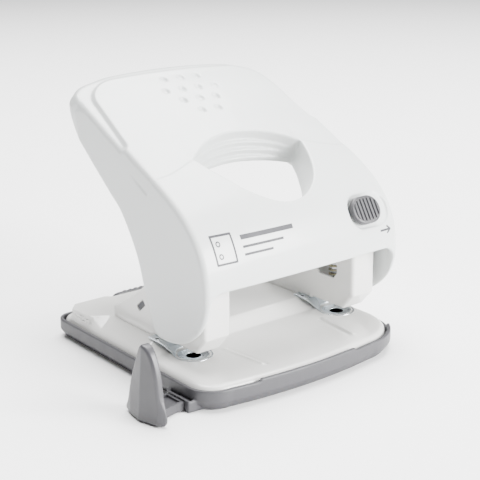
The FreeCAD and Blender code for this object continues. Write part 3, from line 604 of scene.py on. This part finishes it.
def make_tray():
    """Tray with its ledge, the guide's housing and channel, and the finger tab."""
    axes = lattice((-63.5, -39.5, -1.0), (53.5, 77.5, 14.5), 0.5)
    xs, ys, zs = axes
    flat = outline_field(tray_points(), xs, ys)[0][:, :, None]
    x, y, z = xs[:, None, None], ys[None, :, None], zs[None, None, :]
    taper = TRAY_FACET * np.clip(1 - z / TRAY_FACET_Z, 0, 1)
    body = meet_round(flat + taper, np.maximum(z - rim_height(x, y), -z), 0.5)
    wall = outline_field(np.array([(HOUSING_X, -26.8), (-56, -27.6), (-56, -10.5), (-60, -10.5),
                                   (HOUSING_X, -12.5)]), xs, ys)[0][:, :, None]
    body = join_round(body, meet_round(wall, np.maximum(z - 4.9, -z), 0.4), 0.5)
    inner = HOUSING_X + 1.2
    groove = outline_field(np.array([(inner, -25.9), (-59.8, -25.9), (-60.2, -22), (-60.3, -12.6),
                                     (inner, -13.4)]), xs, ys)[0][:, :, None]
    body = cut_round(body, np.maximum(groove, 2.6 - z), 0.25)
    low = np.maximum(flat + TRAY_FACET + TRAY_WALL, np.maximum(TRAY_FLOOR - z, z - LEDGE_Z - 0.5))
    high = np.maximum(flat + TRAY_WALL, LEDGE_Z - z)
    body = cut_round(body, np.minimum(low, high), 0.3)
    y0, y1 = TRAY_REAR - 5.4, TRAY_REAR - 0.8
    section = outline_field(np.array([(y0, 4), (y1, 4), (y1, 12.2), (y1 - 1.6, 12.9), (y0 + 0.8, 12.9),
                                      (y0, 12.2)]), ys, zs)[0][None]
    body = np.minimum(body, tab_field(x, section, z))
    slot = np.maximum(np.maximum(x + 54.0, np.abs(y - GUIDE_Y) - 3.3), np.abs(z - 2.8) - 1.4)
    body = np.maximum(body, -slot)
    rails = np.maximum(np.abs(np.abs(y - GUIDE_Y) - 3.8) - 0.5, np.maximum(np.abs(x + 13.5) - 43.5, z - 4.0))
    body = np.minimum(body, np.maximum(rails, 1.0 - z))
    piece = mesh_object("tray_shell", *surface_nets(body, axes), materials["tray_grey"], "tray")
    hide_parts("chip_tray")


def die_field(x, y, z):
    """Stepped strip: ring under the pin, Z-bend up the ramp, wide tongue under the bracket."""
    middle = DIE_TOP - DIE_T / 2 + DIE_RISE * smooth(4.0, 11.4, y)
    bend = 0.8 * (np.abs(z - middle) - DIE_T / 2)
    tongue = np.abs(x) - DIE_TONGUE_HALF_W - DIE_FLARE * smooth(5.0, 12.0, y)
    tongue = np.maximum(tongue, np.maximum(-y, y - DIE_REAR))
    return meet_round(bend, join_round(np.hypot(x, y) - DIE_R, tongue, 1.0), 0.25)


def make_dies():
    """Die strips: a ring groove and a dished middle round the bore, and two screw holes."""
    axes = lattice((-10.2, -8.4, 8.1), (10.2, 18.6, 15.0), 0.15)
    x, y, z = axes[0][:, None, None], axes[1][None, :, None], axes[2][None, None, :]
    r = np.hypot(x, y)
    body = die_field(x, y, z)
    body = cut_round(body, np.hypot(r - 6.9, z - DIE_TOP - 0.3) - 0.6, 0.1)
    body = cut_round(body, np.maximum(DIE_TOP - 0.5 + (r - 3.6) / 6 - z, r - 6.6), 0.15)
    body = cut_round(body, r - DIE_BORE_R + 0 * z, 0.2)
    for side in (-1, 1):
        screw = np.hypot(x - side * DIE_SCREW_AT[0], y - DIE_SCREW_AT[1]) - DIE_SCREW_R
        body = cut_round(body, screw + 0 * z, 0.15)
    verts, quads = surface_nets(body, axes)
    for side, name in ((-1, "left_die_plate"), (1, "right_die_plate")):
        placed = verts + [side * HEAD_X, 0, 0]
        piece = mesh_object(name + "_sheet", placed, quads, materials["zinc"], "chassis")
        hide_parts(name)


def coil_mesh():
    """Vertices and faces of one return spring: round wire wound upwards."""
    low, high = SPRING_Z
    across = np.linspace(0, 2 * math.pi, 12, endpoint=False)
    turns = np.linspace(0, SPRING_TURNS, int(SPRING_TURNS * 36) + 1)
    rise = (high - low - 2 * SPRING_WIRE_R - 0.1) / SPRING_TURNS
    r = SPRING_R + SPRING_WIRE_R * np.cos(across)[None]
    angle = 2 * math.pi * turns[:, None]
    height = low + SPRING_WIRE_R + 0.05 + rise * turns[:, None] + SPRING_WIRE_R * np.sin(across)[None]
    verts = np.stack([r * np.cos(angle), r * np.sin(angle), height], -1).reshape(-1, 3)
    count, rings = len(across), len(turns)
    faces = []
    for i in range(0, (rings - 1) * count, count):
        for k in range(count):
            after = (k + 1) % count
            faces.append((i + k, i + after, i + count + after, i + count + k))
    faces += [tuple(range(count))[::-1], tuple(range((rings - 1) * count, rings * count))]
    return verts, faces


def make_springs():
    """Return springs, one at each punch head."""
    verts, faces = coil_mesh()
    for side, name in ((-1, "left_return_spring"), (1, "right_return_spring")):
        placed = verts + [side * HEAD_X, 0, 0]
        piece = mesh_object(name + "_coil", placed, faces, materials["spring_steel"], "chassis")
        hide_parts(name)
        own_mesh(piece)


def deck_height(xs, ys):
    """Top of the base plate: front deck, ramp up to the rear plateau, and a rib beside each die."""
    low = outline_field(np.array(PLATEAU_LOW), xs, ys)[0]
    high = outline_field(np.array(PLATEAU_HIGH), xs, ys)[0]
    t = np.where(low < 0, -low / (np.maximum(high, 0) - low + 1e-6), 0)
    height = PLATE_TOP + (PLATEAU_TOP - PLATE_TOP) * (0.55 * t + 0.45 * smooth(0, 1, t))
    x, y = np.abs(xs[:, None]), ys[None]
    along = np.clip((y - RIB_AT[1]) / RIB_RUN[1], 0, 1)
    off_y = y - RIB_AT[1] - RIB_RUN[1] * along
    off = np.hypot(x - RIB_AT[0] - RIB_RUN[0] * along, off_y)
    beside = np.hypot(x - RIB_GROOVE_X - RIB_RUN[0] * along, off_y)
    return height + 0.5 * np.exp(-(off / 0.85) ** 2) - 0.3 * np.exp(-(beside / 0.9) ** 2)


def make_base():
    """Pressed sheet base, with its turned-down edge, the tab's notch and the pins' openings."""
    axes = lattice((-58.5, -37.0, 5.0), (51.0, 75.0, 14.5), 0.5)
    xs, ys, zs = axes
    x, y, z = xs[:, None, None], ys[None, :, None], zs[None, None, :]
    flat = outline_field(tray_points(), xs, ys)[0][:, :, None] + TRAY_WALL + PLATE_GAP
    skin = meet_round(flat, z - deck_height(xs, ys)[:, :, None], BASE_EDGE_R)
    sheet = meet_round(np.maximum(skin, BASE_FOOT_Z - z), -(skin + PLATE_T), 0.2)
    notch = outline_field(np.array(BASE_NOTCH), xs, ys)[0][:, :, None]
    sheet = cut_round(sheet, notch + 0 * z, 0.4)
    for side in (-1, 1):
        sheet = np.maximum(sheet, -(np.hypot(x - side * HEAD_X, y) - PIN_OPENING_R + 0 * z))
    piece = mesh_object("base_sheet", *surface_nets(sheet, axes), materials["enamel_white"], "chassis")
    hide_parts("base_plate")


# ---- punch heads --------------------------------------------------------------------------------
def folded_front(y, z):
    """Outside of the bracket's front and underside, fading out above its front sheet."""
    back, down = BRACKET_SLOPE
    slope = (-(y - BRACKET_FRONT_Y) * down - (z - BRACKET_BEND_Z) * back) / math.hypot(down, back)
    face = np.maximum(np.maximum(BRACKET_FRONT_Y - y, slope), BRACKET_BOTTOM - z)
    return face - 9.0 * smooth(40.0, 42.0, z) - 9.0 * smooth(9.0, 11.0, y)


def make_bracket_mesh():
    """Folded channel: two walls, a front sheet with round folds, and a foot at the rear."""
    axes = lattice((-7.2, -19.5, 13.2), (7.2, 48.9, 52.8), 0.3)
    xs, ys, zs = axes
    x, y, z = xs[:, None, None], ys[None, :, None], zs[None, None, :]
    w, t = BRACKET_HALF_W, SHEET
    wall = outline_field(np.array(BRACKET_WALL), ys, zs)[0][None]
    walls = meet_round(wall, np.abs(np.abs(x) - w + t / 2) - t / 2, 0.25)
    front = outline_field(np.array(BRACKET_FRONT), ys, zs)[0][None]
    body = join_round(walls, np.maximum(front, np.abs(x) - w), 0.9)
    foot = np.maximum(np.maximum(np.abs(y - 32.5) - 12.5, np.abs(z - 14.15) - 0.55), np.abs(x) - w)
    body = join_round(body, foot, 0.7)
    body = meet_round(body, folded_front(y, z) + 0 * x, 0.01)
    fold = meet_round(folded_front(y, z) + 0 * x, np.abs(x) - w, 1.7)
    body = np.maximum(body, np.where((z < 41.0) & (y < 10.0), fold, -9.0))
    for table in (BRACE_SLOT, BRACKET_WINDOW):
        body = cut_round(body, outline_field(np.array(table), ys, zs)[0][None] + 0 * x, 0.2)
    body = cut_round(body, np.hypot(y - PIVOT_AT[0], z - PIVOT_AT[1]) - AXLE_HOLE_R + 0 * x, 0.15)
    body = cut_round(body, np.maximum(np.hypot(x, y) - PIN_HOLE_R, z - FOOT_TOP_Z), 0.15)
    for at in RIVET_YS:
        body = np.maximum(body, -np.maximum(np.hypot(x, y - at) - RIVET_HOLE_R, z - FOOT_TOP_Z))
    return surface_nets(body, axes)


def make_brackets():
    """The two brackets, alike on both sides."""
    verts, quads = make_bracket_mesh()
    for side, name in ((-1, "left_bracket"), (1, "right_bracket")):
        placed = verts + [side * HEAD_X, 0, 0]
        piece = mesh_object(name + "_sheet", placed, quads, materials["enamel_white"], "chassis")
        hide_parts(name)


# ---- paper guide and lock -----------------------------------------------------------------------
def make_fin():
    """Upright stop: a lens in plan with a crease down its outer face, leaning to a rounded top."""
    axes = lattice((-81.9, -31.5, -0.3), (-74.7, -9.0, 31.2), 0.3)
    xs, ys, zs = axes
    x, y, z = xs[:, None, None], ys[None, :, None], zs[None, None, :]
    side = outline_field(curve_through(FIN_SIDE, 6, True), ys, zs)[0][None]
    side = np.maximum(side, 0.4 - z)
    middle = -20.4 - 0.5 * z / 30.0
    swell = np.interp(ys, *zip(*FIN_SWELL))[None, :, None]
    front = 5.7 - np.abs(y - middle) * np.where(y < middle, 0.28, 0.12)
    depth = np.minimum(swell + 0.3, front) * (1 - 0.34 * z / FIN_HEIGHT)
    body = meet_round(side + 0 * x, FIN_INNER_X - depth - x, 1.1)
    body = meet_round(body, x - FIN_INNER_X, 0.4)
    piece = mesh_object("guide_fin_moulding", *surface_nets(body, axes), materials["guide_grey"], "guide")
    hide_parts("guide_fin")


def make_knob():
    """Thumb slide: rounded cap with ribs across its travel, and a stem through the cover."""
    axes = lattice((-8.4, -6.6, -4.2), (8.4, 6.6, 3.2), 0.2)
    x, v, w = axes[0][:, None, None], axes[1][None, :, None], axes[2][None, None, :]
    cap = meet_round(pill(x, v, *KNOB_HALF, 5.9) + 0 * w, np.abs(w - 0.5) - 1.3, 0.7)
    half_pitch = KNOB_RIB_PITCH / 2
    ribs = np.abs((x + half_pitch) % KNOB_RIB_PITCH - half_pitch) - 0.5
    ribs = meet_round(ribs, pill(x, v, *KNOB_RIB_HALF, 4.8), 0.3)
    ribs = meet_round(ribs + 0 * w, np.abs(w - 1.9) - 0.6, 0.35)
    body = join_round(cap, ribs, 0.25)
    stem = np.maximum(np.maximum(np.abs(x) - 2.6, np.abs(v) - 2.0), np.maximum(-3.6 - w, w))
    verts, quads = surface_nets(np.minimum(body, stem), axes)
    c, s = math.cos(math.radians(LOCK_SLOPE)), math.sin(math.radians(LOCK_SLOPE))
    placed = np.stack([LOCK_AT[0] + verts[:, 0], LOCK_AT[1] + verts[:, 1] * c - verts[:, 2] * s,
                       LOCK_AT[2] + verts[:, 1] * s + verts[:, 2] * c], 1)
    piece = mesh_object("lock_knob_moulding", placed, quads, materials["knob_grey"], "lock")
    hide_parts("lock_knob")


# ---- materials ----------------------------------------------------------------------------------
DRIFT_SCALE = 35.0             # slow colour drift across a piece; roughness varies six times finer


def new_material(name):
    """A node material, its tree and its Principled shader."""
    material = bpy.data.materials.new(name)
    material.use_nodes = True
    tree = material.node_tree
    shader = tree.nodes["Principled BSDF"]
    return material, tree, shader


def noise(tree, scale, detail=2.0, stretch=(1, 1, 1)):
    """Noise in the piece's own coordinates, in metres."""
    place = tree.nodes.new("ShaderNodeTexCoord")
    mapping = tree.nodes.new("ShaderNodeMapping")
    mapping.inputs["Scale"].default_value = stretch
    texture = tree.nodes.new("ShaderNodeTexNoise")
    texture.inputs["Scale"].default_value = scale
    texture.inputs["Detail"].default_value = detail
    tree.links.new(place.outputs["Object"], mapping.inputs["Vector"])
    tree.links.new(mapping.outputs["Vector"], texture.inputs["Vector"])
    return texture.outputs["Fac"]


def spread(tree, value, low, high):
    """Carries a 0.3 to 0.7 noise value to a range."""
    node = tree.nodes.new("ShaderNodeMapRange")
    node.inputs["From Min"].default_value = 0.3
    node.inputs["From Max"].default_value = 0.7
    node.inputs["To Min"].default_value = low
    node.inputs["To Max"].default_value = high
    tree.links.new(value, node.inputs["Value"])
    return node.outputs["Result"]


def tint(tree, value, a, b):
    """Colour between a and b."""
    node = tree.nodes.new("ShaderNodeMix")
    node.data_type = "RGBA"
    node.inputs["A"].default_value = (*a, 1)
    node.inputs["B"].default_value = (*b, 1)
    tree.links.new(value, node.inputs["Factor"])
    return node.outputs["Result"]


def bump(tree, shader, height, strength, distance):
    """Fine relief on a shader's normal."""
    node = tree.nodes.new("ShaderNodeBump")
    node.inputs["Strength"].default_value = strength
    node.inputs["Distance"].default_value = distance
    tree.links.new(height, node.inputs["Height"])
    tree.links.new(node.outputs["Normal"], shader.inputs["Normal"])


def surface(name, colour_a, colour_b, rough, grain, grain_height, metallic=0.0, coat=0.0, stretch=(1, 1, 1)):
    """Base material: slight colour drift, uneven roughness and a fine grain."""
    material, tree, shader = new_material(name)
    shader.inputs["Metallic"].default_value = metallic
    shader.inputs["Coat Weight"].default_value = coat
    drift = noise(tree, DRIFT_SCALE, 3.0)
    tree.links.new(tint(tree, spread(tree, drift, 0, 1), colour_a, colour_b), shader.inputs["Base Color"])
    patches = noise(tree, DRIFT_SCALE * 6, 4.0, stretch)
    tree.links.new(spread(tree, patches, rough[0], rough[1]), shader.inputs["Roughness"])
    bump(tree, shader, noise(tree, grain, 2.0, stretch), 0.25, grain_height)
    return material


materials = {
    "cover_white": surface("cover_white", (0.59, 0.61, 0.603), (0.605, 0.625, 0.618),
                           (0.28, 0.36), 5200, 0.00002, coat=0.15),
    "enamel_white": surface("enamel_white", (0.66, 0.655, 0.635), (0.675, 0.67, 0.65),
                            (0.16, 0.24), 1900, 0.00001, coat=0.4),
    "tray_grey": surface("tray_grey", (0.043, 0.042, 0.047), (0.050, 0.049, 0.054),
                         (0.42, 0.52), 4200, 0.00004),
    "guide_grey": surface("guide_grey", (0.040, 0.039, 0.044), (0.047, 0.046, 0.051),
                          (0.32, 0.42), 4200, 0.00003),
    "knob_grey": surface("knob_grey", (0.040, 0.039, 0.043), (0.047, 0.046, 0.050),
                         (0.36, 0.46), 4200, 0.00003),
    "zinc": surface("zinc", (0.60, 0.65, 0.69), (0.66, 0.70, 0.73),
                    (0.24, 0.34), 900, 0.00002, metallic=1.0),
    "pin_steel": surface("pin_steel", (0.50, 0.51, 0.53), (0.58, 0.59, 0.61),
                         (0.18, 0.28), 3000, 0.00001, metallic=1.0, stretch=(1, 1, 12)),
    "spring_steel": surface("spring_steel", (0.34, 0.30, 0.20), (0.42, 0.38, 0.27),
                            (0.22, 0.38), 2600, 0.00001, metallic=1.0),
    # Blackened steel, partly its own dark finish and partly painted shade: it is kept this dark so that the
    # inside of each bracket reads dark through its window.
    "black_steel": surface("black_steel", (0.035, 0.035, 0.04), (0.06, 0.06, 0.065),
                           (0.35, 0.55), 2500, 0.00002, metallic=0.6),
    "print_grey": surface("print_grey", (0.022, 0.022, 0.028), (0.03, 0.03, 0.036),
                          (0.45, 0.6), 4000, 0.00001),
}


def finish_frame_nodes():
    """Procedural materials for the CAD nodes that stay."""
    slots = {s["node"]: s["material_slot"] for s in frame["record"]["subparts"]}
    for name, node in frame["nodes"].items():
        node.data.materials.clear()
        node.data.materials.append(materials[slots[name]])


# ---- studio -------------------------------------------------------------------------------------
CAMERA_AT = (-0.2883, -0.3350, 0.1864)
CAMERA_AZIMUTH = -39.15
CAMERA_ELEVATION = 17.15
CAMERA_ROLL = -0.197
CAMERA_LENS = 83.36
CAMERA_FRAME = 36.0            # width in mm

FLOOR_ALBEDO = 0.93
FLOOR_HALF = 6.0
WORLD_STRENGTH = 0.3
LIGHTS_AIM = (0, 0.01, 0.05)


def make_camera():
    """Camera from its place, azimuth, elevation and roll."""
    a, e, r = (math.radians(d) for d in (CAMERA_AZIMUTH, CAMERA_ELEVATION, CAMERA_ROLL))
    back = Vector((math.sin(a) * math.cos(e), -math.cos(a) * math.cos(e), math.sin(e)))
    level = Vector((math.cos(a), math.sin(a), 0))
    above = back.cross(level)
    right = level * math.cos(r) + above * math.sin(r)
    up = above * math.cos(r) - level * math.sin(r)
    data = bpy.data.cameras.new("camera")
    data.lens = CAMERA_LENS
    data.sensor_width = CAMERA_FRAME
    data.clip_start = 0.01
    camera = bpy.data.objects.new("camera", data)
    axes = Matrix((right, up, back)).transposed().to_4x4()
    camera.matrix_world = Matrix.Translation(CAMERA_AT) @ axes
    bpy.context.scene.collection.objects.link(camera)
    bpy.context.scene.camera = camera


def area_light(name, at, size, power):
    """Square soft light aimed at the punch."""
    data = bpy.data.lights.new(name, "AREA")
    data.shape = "RECTANGLE"
    data.size = size
    data.size_y = size
    data.energy = power
    light = bpy.data.objects.new(name, data)
    light.location = at
    light.rotation_euler = (Vector(LIGHTS_AIM) - Vector(at)).to_track_quat("-Z", "Y").to_euler()
    bpy.context.scene.collection.objects.link(light)


def make_floor():
    """Pale plain floor."""
    material, tree, shader = new_material("floor_white")
    shader.inputs["Base Color"].default_value = (FLOOR_ALBEDO, FLOOR_ALBEDO, FLOOR_ALBEDO, 1)
    shader.inputs["Roughness"].default_value = 0.7
    h = FLOOR_HALF
    mesh = bpy.data.meshes.new("floor")
    mesh.from_pydata([(-h, -h, 0), (h, -h, 0), (h, h, 0), (-h, h, 0)], [], [(0, 1, 2, 3)])
    mesh.materials.append(material)
    floor = bpy.data.objects.new("floor", mesh)
    bpy.context.scene.collection.objects.link(floor)


def make_studio():
    """Floor, a dim even surround, a low key from the right front and a large light above."""
    make_floor()
    world = bpy.data.worlds.new("studio")
    world.use_nodes = True
    background = world.node_tree.nodes["Background"]
    background.inputs["Color"].default_value = (1.0, 1.0, 1.0, 1)
    background.inputs["Strength"].default_value = WORLD_STRENGTH
    bpy.context.scene.world = world
    area_light("key", (0.50, -1.10, 0.45), 0.7, 72.0)
    area_light("top", (0.25, 0.35, 1.45), 1.4, 115.0)


finish_frame_nodes()
make_cover()
make_tray()
make_base()
make_dies()
make_brackets()
make_fin()
make_knob()
make_springs()
make_camera()
make_studio()
